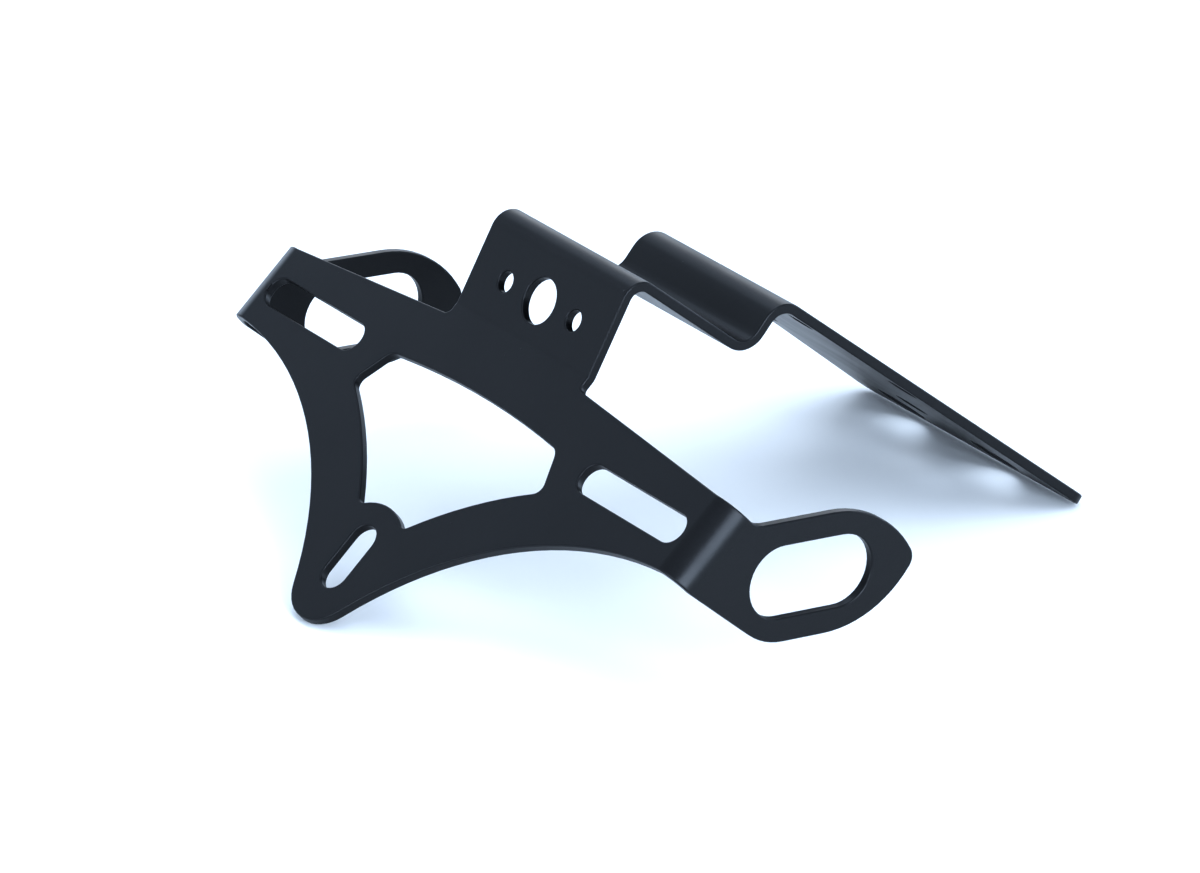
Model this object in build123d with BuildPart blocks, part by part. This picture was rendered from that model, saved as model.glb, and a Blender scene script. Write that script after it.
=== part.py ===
# Tail tidy: the bracket under a motorbike's tail that carries the number plate,
# the plate light and the rear indicators. It is one flat blank, cut and then folded.
# It stands as it is laid down: on the tip of its lobe and on the far edge of its tray.
# X runs across the bike, Y forward and Z up. The origin is on the floor under the middle of the box.
# Lengths are millimetres, angles are degrees, and every section is drawn on the middle of the sheet.
import os
from math import atan2, cos, pi, radians, sin, sqrt, tan

from build123d import *

# Sheet and the inside radii of its folds
sheet = 2.5
neck_inside = 3.0
ridge_inside = 3.0
step_inside = 4.5
ear_inside = 4.5

# How steeply the plate stands, and how far each fold turns the sheet
plate_slope = 42.7
neck_angle = 19.0
ridge_angle = 99.8
valley_angle = 88.0
crest_angle = 88.4

# Plate: heights are measured up its slope from the tip of the lobe
ear_span = 190.0
lobe_radius = 11.2
sweep_height = 53.7
ear_top_height = 75.3
shoulder_height = 80.2
neck_corner = 1.6
neck_flat = 1.6

# Slots for the number plate and, in the lobe, for its lower bolt
plate_slot_span = 134.0
plate_slot_height = 63.5
plate_slot_length = 40.0
plate_slot_width = 8.0
lobe_slot_height = 18.1
lobe_slot_length = 18.0
lobe_slot_width = 8.2

# Window that lightens the plate
window_crown_height = 67.3
window_top_height = 65.2
window_top_width = 69.4
window_side_lean = 26.2
window_band = 14.8
window_boss_rim = 6.0
window_top_corner = 4.0
window_side_corner = 2.5
window_notch_corner = 2.0

# Strip: the flange with the light holes, the shelf and the step up to the tray
strip_width = 55.0
flange_height = 25.5
shelf_length = 41.8
step_height = 14.7
light_hole_height = 10.1
light_screw_span = 28.4
light_screw_hole = 5.2
light_wire_hole = 11.5

# Tray that bolts up under the tail: hole places are measured from the crest of the step
tray_flat = 1.5
tray_end_width = 90.0
tray_corner = 4.0
near_bolt_span = 45.0
near_bolt_place = 13.1
near_bolt_hole = 6.6
middle_bolt_span = 57.0
middle_bolt_place = 47.0
middle_bolt_hole = 8.0
centre_bolt_place = 79.0
centre_bolt_hole = 9.0
grommet_span = 38.0
grommet_edge = 10.5
grommet_hole = 14.0

# Ears for the indicators: each has a tilted slot with an even rim and a pointed nose.
# The slot's middle is measured back from the plate and up from the ear's top edge.
ear_slot_back = 31.3
ear_slot_rise = 0.8
ear_slot_length = 34.6
ear_slot_width = 18.0
ear_slot_tilt = 43.6
ear_rim = 6.0
ear_nose_start = 5.0
ear_nose_reach = 29.7
ear_nose_corner = 4.0
ear_low_start = 12.0
ear_low_corner = 16.0
ear_top_flat = 0.4


def fold_radius(inside):
    """Radius of a fold on the middle of the sheet."""
    return inside + sheet / 2


def fold_setback(inside, angle):
    """How far a fold starts before the corner where its two flat sections would meet."""
    return fold_radius(inside) * tan(radians(angle / 2))


def walk(corner, slope, length):
    """The point reached from a corner of the side view by a length at a slope."""
    return corner[0] + length * cos(radians(slope)), corner[1] + length * sin(radians(slope))


def section_plane(corner, slope):
    """Plane of a flat section: x across the bike, y along its slope, z out of its upper face."""
    upper_face = (0, -sin(radians(slope)), cos(radians(slope)))
    return Plane(origin=(0, *corner), x_dir=(1, 0, 0), z_dir=upper_face)


# Slopes of the sections, from the plate over the ridge and the step to the tray
flange_slope = plate_slope + neck_angle
shelf_slope = flange_slope - ridge_angle
step_slope = shelf_slope + valley_angle
tray_slope = step_slope - crest_angle

# Fold line of each ear, and the shoulder that climbs from it to the strip
ear_middle = (ear_span - sheet) / 2
ear_fold_radius = fold_radius(ear_inside)
ear_fold = ear_middle - ear_fold_radius
shoulder = (strip_width / 2, shoulder_height)
shoulder_rise = atan2(shoulder_height - ear_top_height, ear_fold - shoulder[0])
neck_setback = neck_corner * tan((pi / 2 - shoulder_rise) / 2)
neck_root = shoulder_height + neck_setback + neck_flat / 2

# Corners of the side view. The tip and the far edge both touch the floor with their lower edges,
# so the tray is as long as it takes to come down to it.
plate_height = neck_root + neck_flat / 2 + fold_setback(neck_inside, neck_angle)
tip_height = sheet / 2 * cos(radians(plate_slope))
far_height = sheet / 2 * cos(radians(tray_slope))
fold_run = [
    (plate_slope, plate_height),
    (flange_slope, flange_height),
    (shelf_slope, shelf_length),
    (step_slope, step_height),
]
crest_height = tip_height + sum(length * sin(radians(slope)) for slope, length in fold_run)
tray_length = (crest_height - far_height) / sin(radians(-tray_slope))
whole_run = sum(length * cos(radians(slope)) for slope, length in fold_run + [(tray_slope, tray_length)])
edge_lean = sheet / 4 * (sin(radians(plate_slope)) - sin(radians(-tray_slope)))
tip = (edge_lean - whole_run / 2, tip_height)
neck = walk(tip, plate_slope, plate_height)
ridge = walk(neck, flange_slope, flange_height)
valley = walk(ridge, shelf_slope, shelf_length)
crest = walk(valley, step_slope, step_height)

plate_plane = section_plane(tip, plate_slope)
flange_plane = section_plane(neck, flange_slope)
tray_plane = section_plane(crest, tray_slope)

# Lower edge of the plate: the lobe's arc runs into two hollow sweeps that level out at the ears
sweep_radius = (ear_middle**2 + sweep_height**2) / (2 * sweep_height) - lobe_radius
sweep_centre = (ear_middle, sweep_height - sweep_radius)
lobe_turn = atan2(ear_middle, lobe_radius - sweep_centre[1])
lobe_end = (lobe_radius * sin(lobe_turn), lobe_radius * (1 - cos(lobe_turn)))

ear_low_height = sweep_centre[1] + sqrt(sweep_radius**2 - ear_fold_radius**2)

# Ear plane: x runs back from the plate, y up its slope
ear_plane = Plane(
    origin=plate_plane.from_local_coords((ear_middle, 0, 0)),
    x_dir=-plate_plane.z_dir,
    z_dir=(1, 0, 0),
)
ear_fold_plane = Plane(
    origin=plate_plane.from_local_coords((0, ear_low_height, 0)),
    x_dir=(1, 0, 0),
    z_dir=plate_plane.y_dir,
)
ear_half = ear_slot_width / 2 + ear_rim
ear_slot_height = ear_top_height + ear_slot_rise
tilt = radians(ear_slot_tilt)


def beside_slot(along, aside):
    """A point of the ear, measured along the tilted slot from its middle and square to it."""
    back = ear_slot_back + along * cos(tilt) - aside * sin(tilt)
    height = ear_slot_height + along * sin(tilt) + aside * cos(tilt)
    return back, height


ear_top_start = (ear_top_height - beside_slot(0, ear_half)[1]) / sin(tilt)
ear_top_corner_point = beside_slot(ear_top_start, ear_half)
ear_top_corner = (ear_top_corner_point[0] - ear_fold_radius - ear_top_flat) / tan(tilt / 2)
ear_low_corner_point = beside_slot(-ear_low_start, -ear_half)
ear_nose = beside_slot(ear_nose_reach, 0)
boss_radius = lobe_slot_length / 2 + window_boss_rim
window_drop = window_top_height - lobe_slot_height
window_foot = window_top_width / 2 + window_drop * tan(radians(window_side_lean))


def nearest(vertices, point):
    """The corner of a sketch that lies nearest to a point."""
    return vertices.sort_by_distance((*point, 0))[0]


def pair(span, place):
    """Two places, one on each side of the middle."""
    return Locations((-span / 2, place), (span / 2, place))


with BuildPart() as bracket:
    # Right ear: the fold at the plate's side, then the flat ear behind it
    with BuildSketch(ear_fold_plane):
        with BuildLine():
            CenterArc((ear_fold, ear_fold_radius), ear_fold_radius, -90, 90)
        trace(line_width=sheet)
    extrude(amount=ear_top_height - ear_low_height)

    with BuildSketch(ear_plane) as ear:
        with BuildLine():
            low_edge = Line((ear_fold_radius, ear_low_height), ear_low_corner_point)
            low_side = Line(low_edge @ 1, beside_slot(ear_nose_start, -ear_half))
            TangentArc(low_side @ 1, ear_nose, tangent=low_side % 1)
            nose_top = TangentArc(beside_slot(ear_nose_start, ear_half), ear_nose, tangent=low_side % 1)
            Polyline(
                nose_top @ 0,
                ear_top_corner_point,
                (ear_fold_radius, ear_top_height),
                low_edge @ 0,
            )
        make_face()
        fillet(nearest(ear.vertices(), ear_nose), ear_nose_corner)
        fillet(nearest(ear.vertices(), ear_low_corner_point), ear_low_corner)
        fillet(nearest(ear.vertices(), ear_top_corner_point), ear_top_corner)
        with Locations((ear_slot_back, ear_slot_height)):
            SlotOverall(ear_slot_length, ear_slot_width, rotation=ear_slot_tilt, mode=Mode.SUBTRACT)
    extrude(amount=sheet / 2, both=True)
    mirror(about=Plane.YZ)

    # Plate: lobe, sweeps and shoulders, with the three slots
    with BuildSketch(plate_plane) as plate:
        with BuildLine():
            lobe = TangentArc((0, 0), lobe_end, tangent=(1, 0))
            sweep_edge = TangentArc(lobe @ 1, (ear_fold, ear_low_height), tangent=lobe % 1)
            Polyline(
                sweep_edge @ 1,
                (ear_fold, ear_top_height),
                shoulder,
                (strip_width / 2, neck_root),
                (0, neck_root),
            )
            mirror(about=Plane.YZ)
        make_face()
        fillet(nearest(plate.vertices(), shoulder), neck_corner)
        fillet(nearest(plate.vertices(), (-shoulder[0], shoulder[1])), neck_corner)
        with pair(plate_slot_span, plate_slot_height):
            SlotOverall(plate_slot_length, plate_slot_width, mode=Mode.SUBTRACT)
        with Locations((0, lobe_slot_height)):
            SlotOverall(lobe_slot_length, lobe_slot_width, rotation=90, mode=Mode.SUBTRACT)
    extrude(amount=sheet / 2, both=True)

    # Window: an arched top, and lower edges that follow the sweeps and the boss of the lobe slot
    with BuildSketch(plate_plane) as window:
        with BuildLine():
            crown = ThreePointArc(
                (-window_top_width / 2, window_top_height),
                (0, window_crown_height),
                (window_top_width / 2, window_top_height),
            )
            Polyline(
                crown @ 1,
                (window_foot, lobe_slot_height),
                (-window_foot, lobe_slot_height),
                crown @ 0,
            )
        make_face()
        with pair(2 * sweep_centre[0], sweep_centre[1]):
            Circle(sweep_radius + window_band, mode=Mode.SUBTRACT)
        with Locations((0, lobe_slot_height)):
            Circle(boss_radius, mode=Mode.SUBTRACT)
        fillet(window.vertices().group_by(Axis.Y)[-1], window_top_corner)
        fillet(window.vertices().group_by(Axis.Y)[0], window_notch_corner)
        fillet(window.vertices().group_by(Axis.X)[-1], window_side_corner)
        fillet(window.vertices().group_by(Axis.X)[0], window_side_corner)
    extrude(amount=sheet, both=True, mode=Mode.SUBTRACT)

    # Strip: flange, shelf and step in one folded run
    tray_start = fold_setback(step_inside, crest_angle) + tray_flat
    strip_insides = (neck_inside, ridge_inside, step_inside, step_inside)
    with BuildSketch(Plane.YZ):
        with BuildLine():
            FilletPolyline(
                walk(tip, plate_slope, neck_root),
                neck,
                ridge,
                valley,
                crest,
                walk(crest, tray_slope, tray_start),
                radius=[fold_radius(inside) for inside in strip_insides],
            )
        trace(line_width=sheet)
    extrude(amount=strip_width / 2, both=True)

    # Holes for the plate light: a wire hole between two screw holes
    with BuildSketch(flange_plane):
        with Locations((0, light_hole_height)):
            Circle(light_wire_hole / 2)
        with pair(light_screw_span, light_hole_height):
            Circle(light_screw_hole / 2)
    extrude(amount=sheet, both=True, mode=Mode.SUBTRACT)

    # Tray: its sides spread from the step to the far edge
    with BuildSketch(tray_plane) as tray:
        with BuildLine():
            Polyline(
                (0, tray_start),
                (strip_width / 2, tray_start),
                (tray_end_width / 2, tray_length),
                (0, tray_length),
            )
            mirror(about=Plane.YZ)
        make_face()
        fillet(nearest(tray.vertices(), (tray_end_width / 2, tray_length)), tray_corner)
        fillet(nearest(tray.vertices(), (-tray_end_width / 2, tray_length)), tray_corner)
        for span, place, hole in (
            (near_bolt_span, near_bolt_place, near_bolt_hole),
            (middle_bolt_span, middle_bolt_place, middle_bolt_hole),
            (grommet_span, tray_length - grommet_edge, grommet_hole),
        ):
            with pair(span, place):
                Circle(hole / 2, mode=Mode.SUBTRACT)
        with Locations((0, centre_bolt_place)):
            Circle(centre_bolt_hole / 2, mode=Mode.SUBTRACT)
    extrude(amount=sheet / 2, both=True)

os.makedirs("parts", exist_ok=True)
bracket.part.label = "folded_bracket"
export_step(bracket.part, "parts/folded_bracket.step")
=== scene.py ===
# %% [markdown]
# # A motorbike's tail tidy
# A tail tidy is the bracket under a motorbike's tail. It carries the number plate, the plate light and the
# rear indicators. The real one is a single sheet of steel: cut flat by a laser, folded, and coated with
# black powder that is baked until it flows. Its solid is already made at its real size, with every fold and
# hole, so this lesson gives it what the eye still misses: rounded edges, a baked coat, a floor, soft light
# and the photographer's view.

# %% Load the solid as a fixed frame
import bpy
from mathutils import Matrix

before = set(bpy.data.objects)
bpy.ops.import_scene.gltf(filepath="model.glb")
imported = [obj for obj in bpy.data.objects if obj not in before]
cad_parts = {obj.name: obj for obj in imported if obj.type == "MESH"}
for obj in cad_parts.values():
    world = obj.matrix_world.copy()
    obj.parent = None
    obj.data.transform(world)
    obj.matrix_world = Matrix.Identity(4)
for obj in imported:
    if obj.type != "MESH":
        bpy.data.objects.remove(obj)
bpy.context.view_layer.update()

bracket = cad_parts["folded_bracket"]

MM = 0.001


# %% [markdown]
# ## Two small helpers
# Colours are easiest to pick as the hex values that a screen shows, but a shader counts light, so one
# function turns them into linear values. A second function adds a node, sets its fields and links or sets
# its inputs in one call. The nodes could be added line by line, but this way a finish reads from top to
# bottom like a recipe.

# %% Helpers for colours and nodes
import bpy


def linear(hex_colour):
    """An sRGB hex colour as the linear colour that a shader uses."""
    channels = [int(hex_colour[i:i + 2], 16) / 255 for i in (1, 3, 5)]
    return [c / 12.92 if c <= 0.04045 else ((c + 0.055) / 1.055) ** 2.4 for c in channels] + [1.0]


def add(tree, kind, inputs=None, **fields):
    """Adds a node to a tree. Each input is a value to set or another node's output to link."""
    node = tree.nodes.new(kind)
    for name, value in fields.items():
        setattr(node, name, value)
    for name, value in (inputs or {}).items():
        if isinstance(value, bpy.types.NodeSocket):
            tree.links.new(value, node.inputs[name])
        else:
            node.inputs[name].default_value = value
    return node


print("middle grey in linear light:", [round(c, 3) for c in linear("#808080")[:3]])


# %% [markdown]
# ## Rounded edges
# A laser leaves a square edge, but tumbling breaks its corners and the powder flows round them, so the
# edges of the real sheet are about half a millimetre round. That thin round is what catches the light as a
# fine line. It could be faked with the Bevel node in the shader, but then the outline would stay square. A
# Bevel modifier makes real geometry and leaves the solid's own mesh untouched. That mesh comes as loose
# triangles, so two more modifiers work before the bevel: one joins the triangles and one merges those that
# lie flat. A last one lets the large flat faces decide how the light turns, so that they stay flat to the
# eye.

# %% Join the loose triangles
join_reach = 0.001 * MM

joining = bpy.data.node_groups.new("join_and_smooth", "GeometryNodeTree")
joining.interface.new_socket("Geometry", in_out="INPUT", socket_type="NodeSocketGeometry")
joining.interface.new_socket("Geometry", in_out="OUTPUT", socket_type="NodeSocketGeometry")
given = add(joining, "NodeGroupInput").outputs["Geometry"]
bare = add(joining, "GeometryNodeRemoveAttribute", {"Geometry": given, "Name": "custom_normal"})
joined = add(joining, "GeometryNodeMergeByDistance",
             {"Geometry": bare.outputs["Geometry"], "Distance": join_reach})
smooth = add(joining, "GeometryNodeSetShadeSmooth",
             {"Geometry": joined.outputs["Geometry"], "Shade Smooth": True})
add(joining, "NodeGroupOutput", {"Geometry": smooth.outputs["Geometry"]})

join_step = bracket.modifiers.new("join_and_smooth", "NODES")
join_step.node_group = joining
print("first modifier:", join_step.name, "with", len(joining.nodes), "nodes")

# %% Merge, round and shade
from math import radians

edge_round = 0.45 * MM
round_segments = 4
flat_angle = radians(0.5)
sharp_angle = radians(40)

flat_step = bracket.modifiers.new("merge_flat", "DECIMATE")
flat_step.decimate_type = "DISSOLVE"
flat_step.angle_limit = flat_angle

round_step = bracket.modifiers.new("round_edges", "BEVEL")
round_step.limit_method = "ANGLE"
round_step.angle_limit = sharp_angle
round_step.width = edge_round
round_step.segments = round_segments
round_step.use_clamp_overlap = False

shade_step = bracket.modifiers.new("shade_by_area", "WEIGHTED_NORMAL")
shade_step.mode = "FACE_AREA"

shaped = bracket.evaluated_get(bpy.context.evaluated_depsgraph_get())
print("rounded:", len(shaped.to_mesh().polygons), "faces")
shaped.to_mesh_clear()


# %% [markdown]
# ## Powder coat
# The coat is satin black polyester powder, sprayed on dry and baked. The powder melts into an even dark
# skin with a faint ripple, which painters call orange peel, a much finer grain from single specks, and here
# and there a nib where dust was baked in. It could be painted from scanned pictures, but noise that is
# measured in the solid's own millimetres needs no unwrapping and runs round every fold and edge without a
# seam.

# %% The textures of the coat
# The grain is really about 0.1 mm wide, finer than a pixel, so it is drawn three times coarser to show at
# all. The clouds are a slow drift of the gloss, from powder that lies a little thicker or thinner.
peel_width = 2.6 * MM
grain_width = 0.3 * MM
cloud_width = 18 * MM
nib_spacing = 7 * MM
nib_radius = 0.3 * MM

powder_coat = bpy.data.materials.new("satin_black_powder_coat")
powder_coat.use_nodes = True
tree = powder_coat.node_tree
tree.nodes.clear()

place = add(tree, "ShaderNodeTexCoord").outputs["Object"]
peel = add(tree, "ShaderNodeTexNoise", {"Vector": place, "Scale": 1 / peel_width, "Detail": 2.0})
grain = add(tree, "ShaderNodeTexNoise", {"Vector": place, "Scale": 1 / grain_width, "Detail": 1.0})
cloud = add(tree, "ShaderNodeTexNoise", {"Vector": place, "Scale": 1 / cloud_width, "Detail": 2.0})
dust = add(tree, "ShaderNodeTexVoronoi", {"Vector": place, "Scale": 1 / nib_spacing}, feature="F1")
nib = add(tree, "ShaderNodeMapRange",
          {"Value": dust.outputs["Distance"], "From Min": 0.0, "From Max": nib_radius / nib_spacing,
           "To Min": 1.0, "To Max": 0.0}, clamp=True)
print("textures:", [node.bl_label for node in tree.nodes])

# %% Satin black powder coat
# Baked polyester is a plastic skin: not metallic, with the IOR of polyester, and satin, so that highlights
# are soft but keep a shape. Most of what the eye sees on it is the room, because the pigment returns so
# little. The specular level is below the usual half, because the matting agent in the powder dulls it.
darkest_pigment = linear("#111112")
palest_pigment = linear("#19191a")
smoothest = 0.33
roughest = 0.39
cloud_low = 0.3
cloud_high = 0.7
polyester_ior = 1.5
specular_level = 0.28
peel_height = 0.012 * MM
grain_height = 0.0075 * MM
nib_height = 0.06 * MM

pigment = add(tree, "ShaderNodeValToRGB", {"Fac": grain.outputs["Fac"]})
pigment.color_ramp.elements[0].color = darkest_pigment
pigment.color_ramp.elements[1].color = palest_pigment
gloss = add(tree, "ShaderNodeMapRange",
            {"Value": cloud.outputs["Fac"], "From Min": cloud_low, "From Max": cloud_high,
             "To Min": smoothest, "To Max": roughest}, clamp=True)
ripple = add(tree, "ShaderNodeBump", {"Height": peel.outputs["Fac"], "Distance": peel_height})
specks = add(tree, "ShaderNodeBump",
             {"Height": grain.outputs["Fac"], "Distance": grain_height, "Normal": ripple.outputs["Normal"]})
nibs = add(tree, "ShaderNodeBump",
           {"Height": nib.outputs["Result"], "Distance": nib_height, "Normal": specks.outputs["Normal"]})
skin = add(tree, "ShaderNodeBsdfPrincipled",
           {"Base Color": pigment.outputs["Color"], "Roughness": gloss.outputs["Result"],
            "Normal": nibs.outputs["Normal"], "IOR": polyester_ior, "Specular IOR Level": specular_level})
add(tree, "ShaderNodeOutputMaterial", {"Surface": skin.outputs["BSDF"]})

bracket.material_slots[0].material = powder_coat
print("finish:", powder_coat.name, "with", len(tree.nodes), "nodes")


# %% [markdown]
# ## Floor
# The part lies on a sheet of white card. A card that curves up behind the part would do for one view, but a
# plain flat plane looks the same from every side, as long as no view can see its end.

# %% White card
# Uncoated card is pressed paper pulp: it scatters light evenly, so it is nearly white, rough and without
# gloss.
card_reach = 6.0
card_colour = linear("#efefee")
card_roughness = 0.9
card_specular_level = 0.1

card = bpy.data.materials.new("white_card")
card.use_nodes = True
card_skin = card.node_tree.nodes["Principled BSDF"]
card_skin.inputs["Base Color"].default_value = card_colour
card_skin.inputs["Roughness"].default_value = card_roughness
card_skin.inputs["Specular IOR Level"].default_value = card_specular_level

bpy.ops.mesh.primitive_plane_add(size=card_reach)
floor = bpy.context.object
floor.name = "card_floor"
floor.data.materials.append(card)
print("floor:", floor.name, card_reach, "m across")


# %% [markdown]
# ## Light
# Black satin shows little but reflections, so the light is a tent of white cloth with soft boxes, as for a
# product photograph. A sky picture could light it too, but boxes can be set one by one to what each face
# shows. The box above and the two high ones whiten the card, keep the shadows pale and give the faces that
# look up their sheen. The one on the right hangs on the slant, to draw the bright band down the fold of the
# right ear. Two on the left grey the left fold and the ridges, a long low one in front draws the fine line
# along the edges, and one behind lights the cut walls. The light is daylight, so it is a little blue, and
# the tent is brighter near the floor than overhead. The contrast of the print is a view setting.

# %% Soft boxes in a tent
from math import pi

from mathutils import Vector

daylight = linear("#d7e7fb")
pale_daylight = linear("#f2f4f6")
middle = Vector((0, 0, 0.05))


def soft_box(name, place, width, height, brightness, colour=daylight, slant=0):
    """A rectangular light, in metres, that faces the part and may hang on a slant, in degrees.

    Its brightness is what a mirror would show of it.
    """
    light = bpy.data.lights.new(name, "AREA")
    light.shape = "RECTANGLE"
    light.size = width
    light.size_y = height
    light.energy = brightness * pi * width * height
    light.color = colour[:3]
    box = bpy.data.objects.new(name, light)
    box.location = place
    box.rotation_euler = (middle - Vector(place)).to_track_quat("-Z", "Y").to_euler()
    box.rotation_euler.rotate_axis("Z", radians(slant))
    bpy.context.scene.collection.objects.link(box)


soft_box("above", (0.25, -0.1, 1.5), width=1.0, height=1.0, brightness=1.5)
soft_box("high_left", (-0.8, 0.22, 1.25), width=0.6, height=0.6, brightness=2.2)
soft_box("high_right", (1.0, 0.15, 1.1), width=0.7, height=0.7, brightness=1.9)
soft_box("right", (1.24, -0.14, 0.41), width=0.9, height=0.34, brightness=13.5, slant=-45)
soft_box("left", (-1.4, -0.05, 0.38), width=0.7, height=0.25, brightness=3.2, slant=45)
soft_box("left_behind", (-1.5, 1.05, 0.6), width=1.2, height=0.6, brightness=1.4, colour=pale_daylight)
soft_box("front", (0.5, -1.4, 0.36), width=1.5, height=0.2, brightness=14.0)
soft_box("behind", (0.45, 1.4, 0.28), width=0.9, height=0.4, brightness=4.0)
print("soft boxes:", [light.name for light in bpy.data.lights])

# %% The cloth of the tent, and the contrast of the print
# The height runs from 0 at the level of the floor to 1 straight up.
cloth_low = 1.23
cloth_high = 0.7
height_of_high = 0.9

tent = bpy.data.worlds.new("cloth_tent")
tent.use_nodes = True
air = tent.node_tree
air.nodes.clear()
outward = add(air, "ShaderNodeTexCoord").outputs["Generated"]
heading = add(air, "ShaderNodeSeparateXYZ", {"Vector": outward})
glow = add(air, "ShaderNodeMapRange",
           {"Value": heading.outputs["Z"], "From Min": 0.0, "From Max": height_of_high,
            "To Min": cloth_low, "To Max": cloth_high}, clamp=True)
cloth = add(air, "ShaderNodeBackground", {"Color": daylight, "Strength": glow.outputs["Result"]})
add(air, "ShaderNodeOutputWorld", {"Surface": cloth.outputs["Background"]})

scene = bpy.context.scene
scene.world = tent
scene.view_settings.view_transform = "Standard"
scene.view_settings.look = "High Contrast"
print("tent:", tent.name, "from", cloth_low, "at the floor to", cloth_high, "overhead")


# %% [markdown]
# ## Camera
# The view was matched to the photograph: a long lens from far off, a little over twenty degrees up and well
# round to the right, held about one degree off level. The camera could be turned by hand until it fits, but
# from these few numbers anyone can see where the photographer stood.

# %% The photographer's view
from math import cos, sin

from mathutils import Matrix

view_target = Vector((16.56, -26.56, 37.07)) * MM
view_distance = 1881.8 * MM
view_azimuth = radians(54.83)
view_elevation = radians(23.18)
view_roll = radians(1.31)
film_width = 36.0
focal_length = 239.5

towards = Vector((sin(view_azimuth) * cos(view_elevation), -cos(view_azimuth) * cos(view_elevation),
                  sin(view_elevation)))
level = Vector((cos(view_azimuth), sin(view_azimuth), 0))
right = level * cos(view_roll) + towards.cross(level) * sin(view_roll)
up = towards.cross(right)

lens = bpy.data.cameras.new("long_lens")
lens.sensor_fit = "HORIZONTAL"
lens.sensor_width = film_width
lens.lens = focal_length
camera = bpy.data.objects.new("camera", lens)
camera.matrix_world = Matrix((right, up, towards)).transposed().to_4x4()
camera.location = view_target + towards * view_distance
scene.collection.objects.link(camera)
scene.camera = camera
print("camera at", [round(c, 3) for c in camera.location], "m")
